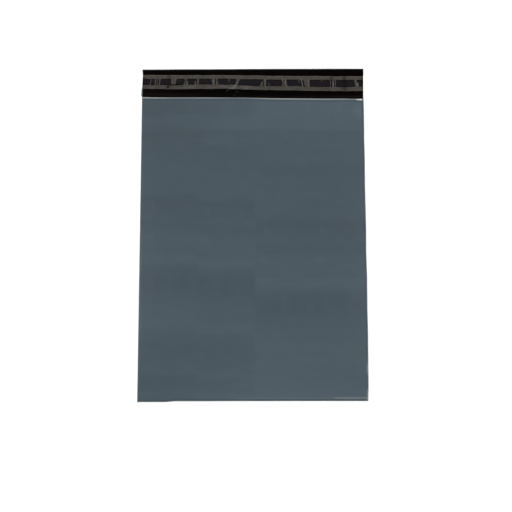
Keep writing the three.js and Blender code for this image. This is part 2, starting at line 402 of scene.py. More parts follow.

# Soft lines along the edges of the front panel, of painted shade and painted highlights: their place is the
# distance from the edge
SHADE_BY_MOUTH = dict(place=(3.3,), half=0.8, strength=(0.9,))
SHADE_BY_FOLD = dict(place=(2.0,), half=0.7, strength=(0.9, (-0.7, 108, 125)))
SHADE_BY_WELD = dict(place=(2.1,), half=0.7, strength=(0.8,))
# Painted highlights along the bottom fold, stronger towards the left corner, and a fainter one over them
FOLD_HIGHLIGHT = dict(place=(0.4,), half=0.8, strength=(0.38, (-0.12, 108, 125)), sway=0.12, seed=52, pitch=70)
CORNER_FOLD_HIGHLIGHT = dict(place=(0.4,), half=0.8, strength=(0.65,))
CORNER_HIGHLIGHT_END = -106
SECOND_FOLD_HIGHLIGHT = dict(
    place=(3.4, (0.6, 85, 100)), half=0.7, strength=(0, (0.18, -28, -12), (0.5, 104, 107))
)

# The right weld catches light round one place and towards the bottom corner
LIT_BY_WELD = dict(place=(0.6,), half=1.5, strength=(1.0,))
LIT_PLACE = dict(middle=-181, half=7)
LIT_PLACE_STRENGTH = 0.9
LIT_CORNER = dict(none=-203, full=-212)
LIT_CORNER_STRENGTH = 0.7
LIT_HIDES_SHADE = 0.6

# The same for painted sheen, faint light lines on the black film, from the mouth and from the lip's edge
SHEEN_BY_MOUTH = dict(place=(3.2,), half=1.2, strength=(0.3, (0.4, -10, 20)), sway=0.15, seed=61, pitch=80)
LIP_SHEEN = dict(place=(4.5,), half=4.0, strength=(0.15, (0.3, -40, -110)))
TOP_SHEEN_LINE = dict(place=(3.6,), half=0.9, strength=(0.072,), sway=0.048, seed=62, pitch=90)

# How pale the welds are: all along, how much that varies, its pitch, and at the mouth
WELD_PALE = {LEFT: (0.03, 0.02, 40, 0.15), RIGHT: (0.28, 0.08, 45, 0.6)}

# Their ends at the mouth: how far before it, and half length
WELD_TIP = dict(from_mouth=1.2, half=0.9)

# Places where the right one catches light: Y and half length
WELD_GLARE = [(-182, 6), (-214, 5)]
WELD_GLARE_STRENGTH = 0.6

# Fine scratches in the black film: place, half length and width, turn in degrees, strength
SCRATCHES = [
    ((-33.8, 193.2), (4.2, 0.45), 40, 0.9),
    ((-22.7, 190.4), (1.6, 0.4), 55, 0.5),
    ((-20.6, 191.4), (1.6, 0.45), 50, 0.9),
    ((-24.7, 186.6), (1.4, 0.45), 55, 0.8),
    ((-17.4, 190.7), (0.9, 0.4), 50, 0.6),
]

# Colours, in linear light
GREY = (0.071, 0.099, 0.120, 1)
GREY_DARK = (0.053, 0.074, 0.090, 1)
GREY_LIGHT = (0.089, 0.124, 0.150, 1)
# Pale film of cut edges and welds, also the colour of painted highlights
EDGE_PALE = (0.275, 0.300, 0.300, 1)
# Colour of painted glints
EDGE_BRIGHT = (0.80, 0.80, 0.75, 1)
# Painted shade in the creases beside the edges
CREASE_SHADE = (0.046, 0.064, 0.080, 1)
BLACK = (0.0012, 0.0004, 0.0003, 1)
# Painted sheen of the black film, also the colour of its scuffs
BLACK_SHEEN_AND_SCUFF = (0.0110, 0.0085, 0.0080, 1)
SCRATCH = (0.060, 0.055, 0.050, 1)
ADHESIVE = (0.010, 0.009, 0.010, 1)
HAZE = (0.088, 0.081, 0.073, 1)
HAZE_DARK = (0.054, 0.049, 0.043, 1)
WET = (0.0130, 0.0120, 0.0135, 1)
RIM = (0.0020, 0.0018, 0.0026, 1)
PALE_SLIT = (0.22, 0.21, 0.195, 1)

# Noise lies mostly between the first two values, and tones between the second two
MOST_NOISE = (0.3, 0.7)
TONE_RANGE = (-2, 2)

# How deep bumps are, in metres, where a mark starts to fade, and how strongly black film reflects
BUMP_DEPTH = 0.0001
MARK_CORE = 0.3
BLACK_SPECULAR = 0.35

# The set, in metres and degrees, with the lens and its sensor in millimetres
FLOOR_SIZE = 30
FLOOR_DROP = 0.0002
FLOOR_PAINT = (0.9, 0.9, 0.9, 1)
WHITE = (1, 1, 1, 1)
GLOW_PLACES = (0.5, 2.5)
GLOW_STRENGTHS = (0.3, 1.0)
SKY_WHITE_BELOW = 20
SKY_DARK_ABOVE = 48
SKY_OVERHEAD = 0.006
SOFT_BOXES = [(0, 10.5), (90, 10.0), (180, 9.0), (270, 9.3)]
SOFT_BOX_RISE = 34
SOFT_BOX_AWAY = 1.8
SOFT_BOX_SIDE = 0.9
CAMERA_PLACE = (0.00912, -0.13626, 0.93569)
CAMERA_TURNS = {"X": 6.276, "Y": 0.292, "Z": -0.132}
CAMERA_LENS = 50
CAMERA_SENSOR = 36


# Small helpers for shapes


def smoothstep(value, none, full):
    """A share that goes smoothly from 0 where the value is none to 1 where it is full."""
    share = np.clip((value - none) / (full - none), 0, 1)
    return share * share * (3 - 2 * share)


def bell(value, middle, half):
    return np.exp(-(((value - middle) / half) ** 2))


def plateau(value, middle, half):
    return np.exp(-(((value - middle) / half) ** 4))


FORMS = {"ramp": smoothstep, "bell": bell, "plateau": plateau}

# A wander adds up sine waves, so many of each to its pitch, and is divided by about their height
WANDER_WAVES = (1.0, 1.73, 2.61, 4.18)
WANDER_HEIGHT = 1.9

# The crests of a ripple sway by a share of its pitch, and fade by a share of its height
RIPPLE_SWAY = 0.35
RIPPLE_FADE = 0.25


def wander(along, seed, pitch):
    """A smooth, uneven wave from about -1 to 1, the same on every run."""
    phases = np.random.default_rng(seed).uniform(0, 2 * math.pi, len(WANDER_WAVES))
    total = sum(
        np.sin(2 * math.pi * count * along / pitch + phase) / count
        for count, phase in zip(WANDER_WAVES, phases)
    )
    return total / WANDER_HEIGHT


def ripple(x, y, seed, pitch, stretch):
    """A smooth, uneven field of low waves whose crests run across the bag."""
    sway = pitch * RIPPLE_SWAY * wander(x, seed + 1, pitch * stretch)
    fade = 1 - RIPPLE_FADE + RIPPLE_FADE * wander(x, seed + 2, pitch * stretch)
    return wander(y + sway, seed, pitch) * fade


def along_list(x, places):
    """The value at x of a short list of (x, value) places."""
    return np.interp(x, [place for place, _ in places], [value for _, value in places])


def stepped(x, start, *changes):
    """A value that changes smoothly along X: each change is by how much, from where, to where."""
    return start + sum(amount * smoothstep(x, begin, end) for amount, begin, end in changes)


def edge_line(x, away, place, half, strength, sway=0, seed=0, pitch=1):
    """How strong a soft line along an edge is, at points this far away from the edge."""
    along = stepped(x, *strength) + (sway * wander(x, seed, pitch) if sway else 0)
    return along * bell(away, stepped(x, *place), half)


def strokes(x, y, lines):
    """How strongly a point lies on any of some short soft lines, from 0 to 1."""
    most = np.zeros(x.shape)
    for x0, y0, x1, y1, half, strength in lines:
        run = np.array([x1 - x0, y1 - y0])
        share = np.clip(((x - x0) * run[0] + (y - y0) * run[1]) / (run @ run), 0, 1)
        away = np.hypot(x - x0 - share * run[0], y - y0 - share * run[1])
        most = np.maximum(most, strength * bell(away, 0, half))
    return most


def mouth_y(x):
    return bottom_y + POCKET_LENGTH + mouth_slope * x


def crown(x):
    return 1 - np.minimum(np.abs(x) / half_pocket, 1) ** PILLOW_FULLNESS


def mouth_edge(x):
    """Y of the front panel's cut edge."""
    return mouth_y(x) - MOUTH_DRAW * crown(x) - along_list(x, MOUTH_SAG)


def pillow_gap(x, share):
    """How far the panels stand apart, at a share of the way from the fold to the mouth."""
    rise_share = RISE_LENGTH / POCKET_LENGTH
    rising = 1 - (1 - np.minimum(share / rise_share, 1)) ** 2
    settling = smoothstep(share, rise_share, 1)
    height = PILLOW_HEIGHT + (MOUTH_HEIGHT - PILLOW_HEIGHT) * settling
    return crown(x) * rising * height


def settled(points):
    """Points of the film, moved with the bag's uneven outline."""
    moved = points.copy()
    x, y = points[..., 0], points[..., 1]
    near_side = half_width - SIDE_REACH
    moved[..., 0] += along_list(y, RIGHT_SIDE) * smoothstep(x, near_side, half_width)
    moved[..., 0] += along_list(y, LEFT_SIDE) * smoothstep(-x, near_side, half_width)
    moved[..., 1] += along_list(x, BOTTOM_FOLD) * smoothstep(y, bottom_y + FOLD_REACH, bottom_y)
    moved[..., 1] += along_list(x, LIP_EDGE) * smoothstep(y, lip_y - LIP_REACH, lip_y)
    return moved


def lip_lift(x, y):
    """How far the single film of the lip stands off the surface below it."""
    from_mouth = np.clip((y - mouth_y(x)) / (lip_y - bottom_y - POCKET_LENGTH), 0, 1)
    wave = 0.5 + 0.5 * wander(x, seed=31, pitch=LIP_WAVE_PITCH)
    return LIP_WAVE * wave * from_mouth**LIP_WAVE_POWER


# Meshes


def surface_normals(points):
    across = np.gradient(points, axis=1)
    along = np.gradient(points, axis=0)
    normals = np.cross(across, along)
    return normals / np.linalg.norm(normals, axis=2, keepdims=True)


def placed(name, points, faces, kinds, attributes, materials):
    mesh = bpy.data.meshes.new(name)
    mesh.from_pydata((points * MM).tolist(), [], faces)
    for material in materials:
        mesh.materials.append(material)
    mesh.polygons.foreach_set("material_index", kinds)
    mesh.polygons.foreach_set("use_smooth", np.ones(len(faces), bool))
    for key, values in attributes.items():
        layer = mesh.attributes.new(key, "FLOAT", "POINT")
        layer.data.foreach_set("value", values.astype(np.float32))
    mesh.update()
    piece = bpy.data.objects.new(name, mesh)
    bpy.context.scene.collection.objects.link(piece)
    return piece


def shell(name, outer, inner, attributes, materials):
    """A closed thin body between two grids of points of the same shape. Its materials are for the
    outer face, the inner face and the rim, or one for all."""
    rows, columns = outer.shape[:2]
    count = rows * columns
    top = np.arange(count).reshape(rows, columns)
    outside = np.stack([top[:-1, :-1], top[:-1, 1:], top[1:, 1:], top[1:, :-1]], axis=-1).reshape(-1, 4)
    inside = outside[:, ::-1] + count
    edge = np.concatenate([top[0, :], top[1:, -1], top[-1, -2::-1], top[-2:0:-1, 0]])
    following = np.roll(edge, -1)
    rim = np.stack([edge, edge + count, following + count, following], axis=-1)
    faces = np.concatenate([outside, inside, rim]).tolist()
    kinds = np.repeat([0, 1, 2], [len(outside), len(inside), len(rim)])
    kinds = np.minimum(kinds, len(materials) - 1)
    points = np.concatenate([outer.reshape(-1, 3), inner.reshape(-1, 3)])
    doubled = {key: np.tile(values.ravel(), 2) for key, values in attributes.items()}
    return placed(name, points, faces, kinds, doubled, materials)


def bar(name, rings, attributes, material):
    """A closed bar through rings of points of the same count."""
    count, around = rings.shape[:2]
    index = np.arange(count * around).reshape(count, around)
    following = np.roll(index, -1, axis=1)
    sides = np.stack([index[:-1], following[:-1], following[1:], index[1:]], axis=-1).reshape(-1, 4)
    faces = sides.tolist() + [index[0][::-1].tolist(), index[-1].tolist()]
    kinds = np.zeros(len(faces), int)
    spread_out = {key: np.repeat(values, around) for key, values in attributes.items()}
    return placed(name, rings.reshape(-1, 3), faces, kinds, spread_out, [material])


def spaced(start, end, step):
    count = max(1, round(abs(end - start) / step))
    return np.linspace(start, end, count + 1)


def through(*stretches):
    """One row of stations from stretches that share their end points."""
    return np.concatenate([stretches[0]] + [stretch[1:] for stretch in stretches[1:]])


# Nodes


def new_material(name):
    material = bpy.data.materials.new(name)
    material.use_nodes = True
    nodes = material.node_tree.nodes
    shader = next(node for node in nodes if node.type == "BSDF_PRINCIPLED")
    return material, material.node_tree, shader


def attribute(tree, name):
    node = tree.nodes.new("ShaderNodeAttribute")
    node.attribute_name = name
    return node.outputs["Fac"]


def mapped(tree, size, place=(0, 0, 0), turn=0.0):
    """Places on the piece in units of this size, from this place on and turned about Z."""
    where = tree.nodes.new("ShaderNodeTexCoord")
    mapping = tree.nodes.new("ShaderNodeMapping")
    mapping.vector_type = "TEXTURE"
    mapping.inputs["Location"].default_value = place
    mapping.inputs["Rotation"].default_value = (0, 0, turn)
    mapping.inputs["Scale"].default_value = size
    tree.links.new(where.outputs["Object"], mapping.inputs["Vector"])
    return mapping.outputs["Vector"]


def noise(tree, lumps, detail=3.0, rough=0.5):
    """Uneven grey from 0 to 1, with so many lumps a metre along X, Y and Z."""
    node = tree.nodes.new("ShaderNodeTexNoise")
    node.inputs["Scale"].default_value = 1.0
    node.inputs["Detail"].default_value = detail
    node.inputs["Roughness"].default_value = rough
    size = tuple(1 / count for count in lumps)
    tree.links.new(mapped(tree, size), node.inputs["Vector"])
    return node.outputs["Fac"]


def spread(tree, value, taken, given):
    """A value, moved from one range to another and kept inside it."""
    node = tree.nodes.new("ShaderNodeMapRange")
    for key, number in zip(("From Min", "From Max", "To Min", "To Max"), (*taken, *given)):
        node.inputs[key].default_value = number
    tree.links.new(value, node.inputs["Value"])
    return node.outputs["Result"]


def arithmetic(tree, operation, first, second):
    node = tree.nodes.new("ShaderNodeMath")
    node.operation = operation
    for socket, value in zip(node.inputs, (first, second)):
        tree.links.new(value, socket)
    return node.outputs["Value"]


def blended(tree, share, first, second):
    """A colour between two others, each given as a colour or as a node's output."""
    node = tree.nodes.new("ShaderNodeMix")
    node.data_type = "RGBA"
    tree.links.new(share, node.inputs["Factor"])
    sockets = [socket for socket in node.inputs if socket.type == "RGBA"]
    for socket, value in zip(sockets, (first, second)):
        if isinstance(value, tuple):
            socket.default_value = value
        else:
            tree.links.new(value, socket)
    return next(socket for socket in node.outputs if socket.type == "RGBA")


def length(tree, vector):
    node = tree.nodes.new("ShaderNodeVectorMath")
    node.operation = "LENGTH"
    tree.links.new(vector, node.inputs[0])
    return node.outputs["Value"]


def mark(tree, place, half_size, turn, strength):
    """The strength at a place given in millimetres, falling to 0 round a turned ellipse."""
    size = (half_size[0] * MM, half_size[1] * MM, 1)
    away = length(tree, mapped(tree, size, (place[0] * MM, place[1] * MM, 0), math.radians(turn)))
    return spread(tree, away, (MARK_CORE, 1), (strength, 0))


def bump(tree, shader, height, strength):
    node = tree.nodes.new("ShaderNodeBump")
    node.inputs["Strength"].default_value = strength
    node.inputs["Distance"].default_value = BUMP_DEPTH
    tree.links.new(height, node.inputs["Height"])
    tree.links.new(node.outputs["Normal"], shader.inputs["Normal"])


def finished(tree, shader, colour, rough):
    tree.links.new(colour, shader.inputs["Base Color"])
    tree.links.new(rough, shader.inputs["Roughness"])


def film_outside():
    """Satin grey film with soft bands of painted light and shade, pale where its edge curls, with painted
    highlights, glints and lines of painted shade along its edges.
    """
    material, tree, shader = new_material("film_outside")
    mottle = spread(tree, noise(tree, lumps=(60, 110, 60), detail=4.0), MOST_NOISE, (-0.22, 0.22))
    streak = spread(tree, noise(tree, lumps=(14, 240, 40)), MOST_NOISE, (-0.16, 0.16))
    # The tone holds painted light and shade of the front panel and of the back panel's waves
    tone = arithmetic(tree, "ADD", attribute(tree, "tone"), arithmetic(tree, "ADD", mottle, streak))
    colour = blended(tree, spread(tree, tone, TONE_RANGE, (0, 1)), GREY_DARK, GREY_LIGHT)
    # Painted shade in the creases beside the mouth, the fold and the right weld
    colour = blended(tree, attribute(tree, "crease_shade"), colour, CREASE_SHADE)
    # The cut edge's own paleness, with painted highlights along the mouth, the fold and the right weld
    colour = blended(tree, attribute(tree, "pale"), colour, EDGE_PALE)
    # Painted glints
    colour = blended(tree, attribute(tree, "glint"), colour, EDGE_BRIGHT)
    rough = spread(tree, noise(tree, lumps=(90, 160, 90), detail=4.0), MOST_NOISE, (0.34, 0.42))
    finished(tree, shader, colour, rough)
    bump(tree, shader, noise(tree, lumps=(700, 1500, 900), detail=2.0), strength=0.1)
    return material


def film_inside():
    """Glossy black film with faint lines of painted sheen along the bag's width, lighter scuffs and a few
    fine scratches.
    """
    material, tree, shader = new_material("film_inside")
    # Painted sheen lines on the black film
    colour = blended(tree, attribute(tree, "sheen_line"), BLACK, BLACK_SHEEN_AND_SCUFF)
    scuff = spread(tree, noise(tree, lumps=(30, 420, 60)), (0.55, 0.75), (0, 0.2))
    colour = blended(tree, scuff, colour, BLACK_SHEEN_AND_SCUFF)
    for place, half_size, turn, strength in SCRATCHES:
        colour = blended(tree, mark(tree, place, half_size, turn, strength), colour, SCRATCH)
    rough = spread(tree, noise(tree, lumps=(60, 200, 60)), MOST_NOISE, (0.15, 0.2))
    finished(tree, shader, colour, rough)
    shader.inputs["Specular IOR Level"].default_value = BLACK_SPECULAR
    bump(tree, shader, noise(tree, lumps=(120, 1400, 300), detail=2.0), strength=0.04)
    return material


def cut_edge():
    material, tree, shader = new_material("cut_edge")
    colour = blended(tree, noise(tree, lumps=(220, 220, 220), detail=2.0), GREY_LIGHT, EDGE_PALE)
    tree.links.new(colour, shader.inputs["Base Color"])
    shader.inputs["Roughness"].default_value = 0.5
    return material


def molten_bead():
    """Film that the hot knife melted together, a little glossier and paler than the panels, with painted
    highlights where the right weld catches light.
    """
    material, tree, shader = new_material("molten_bead")
    uneven = spread(tree, noise(tree, lumps=(400, 160, 400)), (0.35, 0.65), (-0.06, 0.06))
    share = arithmetic(tree, "ADD", attribute(tree, "pale"), uneven)
    colour = blended(tree, share, GREY, EDGE_PALE)
    rough = spread(tree, noise(tree, lumps=(300, 300, 300), detail=2.0), MOST_NOISE, (0.28, 0.4))
    finished(tree, shader, colour, rough)
    bump(tree, shader, noise(tree, lumps=(900, 700, 900), detail=2.0), strength=0.2)
    return material


def hot_melt():
    """Smooth dark adhesive."""
    material, tree, shader = new_material("hot_melt")
    colour = blended(tree, noise(tree, lumps=(500, 500, 500)), ADHESIVE, WET)
    rough = spread(tree, noise(tree, lumps=(300, 500, 300)), MOST_NOISE, (0.2, 0.35))
    finished(tree, shader, colour, rough)
    bump(tree, shader, noise(tree, lumps=(500, 900, 500)), strength=0.3)
    return material


def release_film():
    """Hazy film that turns dark where it wets out on the adhesive under it."""
    material, tree, shader = new_material("release_film")
    cloud = spread(tree, noise(tree, lumps=(160, 420, 160), detail=4.0, rough=0.6), (0.35, 0.7), (0, 1))
    haze = blended(tree, cloud, HAZE_DARK, HAZE)
    specks = spread(tree, noise(tree, lumps=(520, 520, 520)), (0.4, 0.7), (0, 0.25))
    dark = blended(tree, specks, WET, RIM)
    dark = blended(tree, attribute(tree, "rim"), dark, RIM)
    colour = blended(tree, attribute(tree, "wet"), haze, dark)
    # Stains, and painted shade along the liner's ends
    colour = blended(tree, attribute(tree, "stain_and_shade"), colour, RIM)
    colour = blended(tree, attribute(tree, "slit"), colour, PALE_SLIT)
    rough = spread(tree, noise(tree, lumps=(200, 600, 200)), MOST_NOISE, (0.16, 0.22))
    finished(tree, shader, colour, rough)
    bump(tree, shader, noise(tree, lumps=(300, 1100, 300)), strength=0.15)
    return material


# How light or dark the web of film is


# Painted highlights of dents from handling
def handling_highlights(x, y):
    total = 0
    for middle_x, middle_y, half_x, half_y, turn, strength in HANDLING_HIGHLIGHTS:
        turn = math.radians(turn)
        across = (x - middle_x) * math.cos(turn) + (y - middle_y) * math.sin(turn)
        along = (y - middle_y) * math.cos(turn) - (x - middle_x) * math.sin(turn)
        total = total + strength * bell(across, 0, half_x) * bell(along, 0, half_y)
    return total


def banded_shading(x, y):
    """Painted light and shade: the bands that step down from column to column, with their light marks and the
    shading of faint pleats.
    """
    level = y + SHADING_BAND_SWAY * wander(x, seed=11, pitch=SHADING_BAND_SWAY_PITCH)
    sway = SHADING_BAND_SWAY * wander(y, seed=12, pitch=SHADING_BAND_SWAY_PITCH)
    for (_, drop_before, _), (start, drop, lean) in zip(COLUMNS, COLUMNS[1:]):
        border = start + sway + lean * smoothstep(y, *BORDER_LEAN)
        past = smoothstep(x, border - BORDER_SOFTNESS, border + BORDER_SOFTNESS)
        level = level + (drop - drop_before) * past
    tone = sum(strength * plateau(level, middle, half) for middle, half, strength in SHADING_BANDS)
    for start, drop, _ in COLUMNS:
        for from_start, middle, half_x, half_y in COLUMN_MARKS:
            place = bell(x, start + from_start, half_x) * bell(y + drop, middle, half_y)
            tone = tone + COLUMN_MARK_STRENGTH * place
    middle, half, strength = PLEAT_SHADING
    pleat_shading = strength * wander(x, seed=13, pitch=30) * plateau(level, middle, half)
    return SHADING_BAND_STRENGTH * tone + pleat_shading


def front_tone(x, y):
    """How light the front panel is: its painted bands of light and shade, broad areas of painted light and
    shade, and painted highlights of handling dents.
    """
    tone = banded_shading(x, y) + handling_highlights(x, y)
    for strength, (form_x, *places_x), (form_y, *places_y) in LIT_AND_SHADED_AREAS:
        tone = tone + strength * FORMS[form_x](x, *places_x) * FORMS[form_y](y, *places_y)
    return tone


def mouth_marks(x, y):
    """The cut edge, pale in its own colour and with a painted highlight, its painted glints and the line of
    painted shade below it.
    """
    from_edge = mouth_edge(x) - y
    width = stepped(x, *MOUTH_LINE_WIDTH)
    pale = smoothstep(from_edge, width, width - MOUTH_LINE_FADE) * along_list(x, MOUTH_PALE)
    glints = sum(strength * bell(x, middle, half) for middle, half, strength in GLINTS)
    glint = np.minimum(glints, 1) * smoothstep(from_edge, *GLINT_FADE)
    return pale, glint, edge_line(x, from_edge, **SHADE_BY_MOUTH)


def fold_marks(x, y):
    """Painted highlights: a pale line on the fold itself and a fainter one over it, with a line of painted
    shade between.
    """
    from_fold = y - bottom_y
    fold_highlight = edge_line(x, from_fold, **FOLD_HIGHLIGHT)
    fold_highlight = np.where(x < CORNER_HIGHLIGHT_END, edge_line(x, from_fold, **CORNER_FOLD_HIGHLIGHT), fold_highlight)
    return fold_highlight, edge_line(x, from_fold, **SECOND_FOLD_HIGHLIGHT), edge_line(x, from_fold, **SHADE_BY_FOLD)


def weld_marks(x, y):
    """Where the film beside the right weld catches light, as a painted highlight, and the line of painted
    shade along it.
    """
    from_side = half_width - np.abs(x)
    lit = LIT_PLACE_STRENGTH * bell(y, **LIT_PLACE)
    lit = np.maximum(lit, LIT_CORNER_STRENGTH * smoothstep(y, **LIT_CORNER))
    pale = lit * edge_line(x, from_side, **LIT_BY_WELD)
    dark = (1 - LIT_HIDES_SHADE * lit) * edge_line(x, from_side, **SHADE_BY_WELD)
    return (x > 0) * pale, (x > 0) * dark


def edge_marks(x, y, front, folded):
    """Where the film is pale, glinting or dark beside the mouth, the fold and the right weld: the cut edge's
    own paleness, painted highlights and glints, and lines of painted shade.
    """
    pale_mouth, glint, shade_mouth = mouth_marks(x, y)
    fold_highlight, second_line, shade_fold = fold_marks(x, y)
    pale_weld, shade_weld = weld_marks(x, y)
    pale = (front | folded) * fold_highlight + front * (pale_mouth + second_line + pale_weld)
    crease_shade = front * np.maximum(shade_mouth, np.maximum(shade_fold, shade_weld))
    return np.clip(pale, 0, 1), front * glint, crease_shade


def inside_sheen_lines(x, y):
    """Painted sheen: faint light lines on the black film of the lip."""
    from_mouth = y - mouth_edge(x)
    sheen_lines = edge_line(x, from_mouth, **SHEEN_BY_MOUTH) + edge_line(x, from_mouth, **LIP_SHEEN)
    return np.clip(sheen_lines + edge_line(x, lip_y - y, **TOP_SHEEN_LINE), 0, 1)


# The web of film


def front_height(x, share):
    y = bottom_y + share * POCKET_LENGTH
    waves = WAVE_HEIGHT * ripple(x, y, seed=21, pitch=WAVE_PITCH, stretch=WAVE_STRETCH)
    waves = waves * crown(x) * smoothstep(share, 0, WAVE_FADE)
    from_weld = half_pocket - np.abs(x)
    reach = np.exp(-np.maximum(from_weld, 0) / PUCKER_REACH) * smoothstep(from_weld, 0, PUCKER_START)
    ends = smoothstep(share, *PUCKER_FOLD_FADE) * smoothstep(1 - share, 0, PUCKER_MOUTH_FADE)
    folds = 0.5 + 0.5 * wander(y + np.where(x < 0, 0, PUCKER_SHIFT), seed=22, pitch=PUCKER_PITCH)
    puckers = PUCKER_HEIGHT * folds * reach * ends
    return FOLD_HEIGHT - FILM / 2 + pillow_gap(x, share) + waves + puckers


def across_stations():
    edge = half_width - WELD_WIDTH / 2
    close = half_width - NEAR_WELD
    return through(
        spaced(-edge, -close, WELD_STEP),
        spaced(-close, close, WIDE_STEP),
        spaced(close, edge, WELD_STEP),
    )


def back_and_lip(across):
    """From the lip's cut edge down to where the fold begins to turn."""
    low_mouth = mouth_y(half_width)
    close = bottom_y + NEAR_FOLD
    rows = through(
        spaced(lip_y, low_mouth, LIP_STEP),
        spaced(low_mouth, close, BACK_STEP),
        spaced(close, bottom_y + FOLD_HEIGHT / 2, WELD_STEP),
    )
    x, y = np.meshgrid(across, rows)
    return np.stack([x, y, FILM / 2 + lip_lift(x, y)], axis=-1)


def bottom_fold(across):
    radius = (FOLD_HEIGHT - FILM) / 2
    x, turn = np.meshgrid(across, np.linspace(0, math.pi, FOLD_STEPS + 1)[1:-1])
    y = bottom_y + FOLD_HEIGHT / 2 - radius * np.sin(turn)
    return np.stack([x, y, FOLD_HEIGHT / 2 - radius * np.cos(turn)], axis=-1)


def curl_start(x):
    return mouth_edge(x) - CURL_RADIUS * math.sin(CURL_TURN)


def front_panel(across):
    """From the fold up to where the mouth's edge starts to curl."""
    close = POCKET_LENGTH - NEAR_MOUTH
    rows = through(
        spaced(0, NEAR_FOLD, FOLD_STEP),
        spaced(NEAR_FOLD, close, WIDE_STEP),
        spaced(close, POCKET_LENGTH, MOUTH_STEP),
    )
    x, share = np.meshgrid(across, rows / POCKET_LENGTH)
    start = bottom_y + FOLD_HEIGHT / 2
    return np.stack([x, start + (curl_start(x) - start) * share, front_height(x, share)], axis=-1)


def mouth_curl(across):
    """The curled edge, flatter where the panels come together at the welds."""
    x, turn = np.meshgrid(across, np.linspace(0, CURL_TURN, CURL_STEPS + 1)[1:])
    room = np.minimum(1, pillow_gap(x, 1.0) / CURL_RADIUS)
    z = front_height(x, np.ones_like(x)) - CURL_RADIUS * (1 - np.cos(turn)) * room
    return np.stack([x, curl_start(x) + CURL_RADIUS * np.sin(turn), z], axis=-1)


def make_film_web(materials):
    across = across_stations()
    stretches = [back_and_lip(across), bottom_fold(across), front_panel(across), mouth_curl(across)]
    middle = np.concatenate(stretches)
    stretch = np.repeat(np.arange(len(stretches)), [len(rows) for rows in stretches])[:, None]
    folded, front = stretch == 1, stretch > 1
    x, y = middle[..., 0], middle[..., 1]
    # Painted light and shade of soft waves on the back panel
    back = BACK_WAVE_SHADING * ripple(x, y, seed=41, pitch=BACK_WAVE_PITCH, stretch=BACK_WAVE_STRETCH)
    tone = np.where(front, front_tone(x, y), back)
    pale, glint, crease_shade = edge_marks(x, y, front, folded)
    attributes = {"tone": tone, "pale": pale, "glint": glint, "crease_shade": crease_shade, "sheen_line": inside_sheen_lines(x, y)}
    middle = settled(middle)
    half_film = surface_normals(middle) * FILM / 2
    return shell("film_web", middle + half_film, middle - half_film, attributes, materials)


# The beads that the hot knife leaves


def bead_rings(side, width, height, along, seed):
    """Rings round a bead, round outside and square to the film inside."""
    turns = np.linspace(-math.pi / 2, math.pi / 2, BEAD_STEPS + 1)
    rings = []
    for y, middle_width in zip(along, np.broadcast_to(width, along.shape)):
        radius = height * (1 + BEAD_HEIGHT_VARIES * wander(y, seed, pitch=9)) / 2
        wide = middle_width * (1 + BEAD_WIDTH_VARIES * wander(y, seed + 1, pitch=31))
        outline = [
            (half_width - radius + radius * math.cos(turn), radius + radius * math.sin(turn))
            for turn in turns
        ]
        outline += [(half_width - wide, height * BEAD_INNER_HEIGHT), (half_width - wide, 0.0)]
        rings.append([(side * reach, y, up) for reach, up in outline])
    rings = np.array(rings)
    return settled(rings if side == LEFT else rings[:, ::-1])


def side_name(side):
    return "right" if side == RIGHT else "left"


def weld_pale(side, along, mouth):
    """How pale a weld is along its length."""
    base, varies, pitch, at_mouth = WELD_PALE[side]
    pale = base + varies * wander(along, seed=83 + side, pitch=pitch)
    if side == RIGHT:
        glares = [bell(along, middle, half) for middle, half in WELD_GLARE]
        pale = pale + WELD_GLARE_STRENGTH * np.max(glares, axis=0)
    return np.maximum(pale, at_mouth * bell(along, mouth - WELD_TIP["from_mouth"], WELD_TIP["half"]))


def make_weld(side, material):
    mouth = float(mouth_y(side * half_width))
    along = spaced(bottom_y, mouth if side == RIGHT else TAIL_END, BEAD_STEP)
    width = WELD_WIDTH + (TAIL_WIDTH - WELD_WIDTH) * smoothstep(along, mouth, mouth + TAIL_WIDENING)
    rings = bead_rings(side, width, WELD_HEIGHT, along, seed=81 + side)
    if side == LEFT:
        rings[..., 0] -= along_list(rings[..., 1], TAIL_FLARE)
        rings[..., 2] *= 1 - TAIL_THINNING * smoothstep(rings[..., 1], mouth, TAIL_END)
    pale = weld_pale(side, along, mouth)
    return bar(f"side_weld_{side_name(side)}", rings, {"pale": pale}, material)


def make_hem(side, material):
    along = spaced(float(mouth_y(side * half_width)) - HEM_WIDTH, lip_y, BEAD_STEP)
    rings = bead_rings(side, HEM_WIDTH, HEM_HEIGHT, along, seed=91 + side)
    rings[..., 2] += lip_lift(rings[..., 0], rings[..., 1])
    return bar(f"lip_hem_{side_name(side)}", rings, {"sheen_line": np.zeros_like(along)}, material)


# The adhesive and its liner


def band_middle(x):
    return mouth_y(x) + (along_list(x, BAND_TOP) + along_list(x, BAND_LOW)) / 2


def band_half(x):
    return (along_list(x, BAND_TOP) - along_list(x, BAND_LOW)) / 2


def land_depth(x, across):
    """How far inside the nearest land a point lies: below 0 in the channels and beside the band.
    Across is measured from the middle of the band."""
    depth = np.full(x.shape, LEAST_DEPTH)
    half = band_half(x)
    sides = half - np.abs(across)
    for left, right, lean_left, lean_right, round_left, round_right in LANDS:
        from_left = x - (left + lean_left * across / half)
        from_right = right + lean_right * across / half - x
        ends = np.minimum(from_left, from_right)
        radius = np.where(from_left < from_right, round_left, round_right)
        corner = radius - np.hypot(np.maximum(radius - ends, 0), np.maximum(radius - sides, 0))
        inside = np.where((ends < radius) & (sides < radius), corner, np.minimum(ends, sides))
        depth = np.maximum(depth, inside)
    return depth


